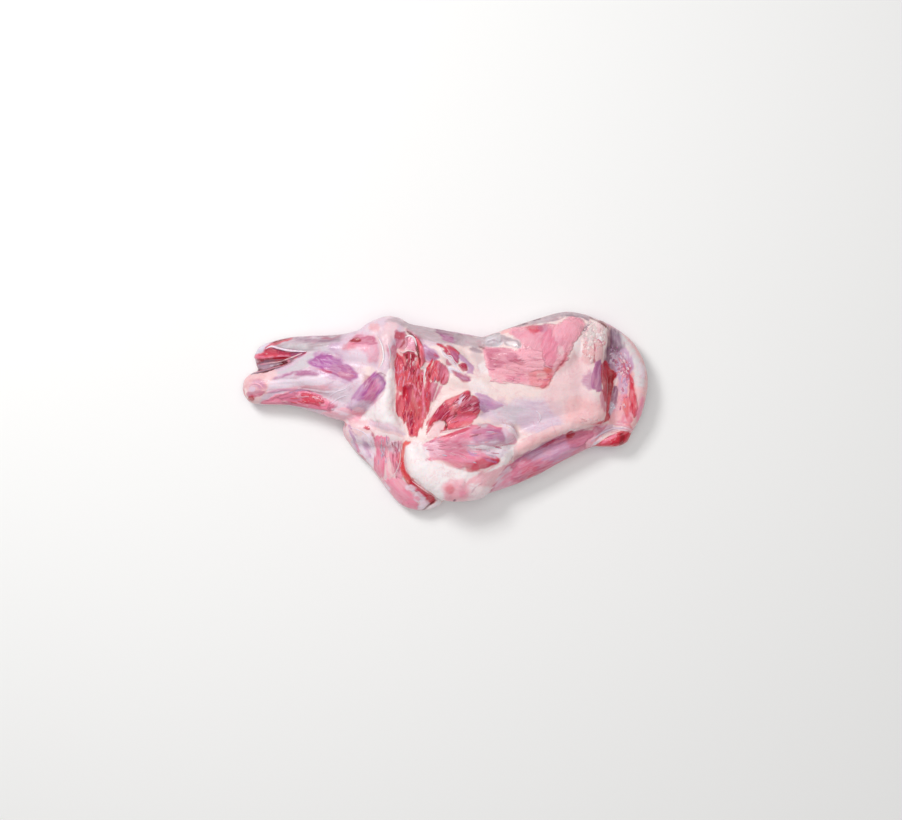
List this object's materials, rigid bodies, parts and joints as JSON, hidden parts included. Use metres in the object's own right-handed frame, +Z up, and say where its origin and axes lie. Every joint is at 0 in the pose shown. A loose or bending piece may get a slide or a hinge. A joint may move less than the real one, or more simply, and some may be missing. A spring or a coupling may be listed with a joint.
{
  "type": "raw lamb shoulder",
  "caption": "Raw lamb shoulder on the bone with its foreshank, lying inner side up, with blade, elbow, breast flap and outer skin.",
  "frame": {"origin": "middle of the base, on the board that the joint of meat lies on", "axes": "+X from the shank end towards the end of the shoulder blade, +Y towards the elbow side, +Z up"},
  "size_m": [0.4192, 0.2056, 0.0681],
  "materials": {
    "raw_lamb": "moist raw meat, satin to glossy"
  },
  "bodies": {
    "root": {"lamb_shoulder": "raw_lamb"}
  },
  "joints": []
}
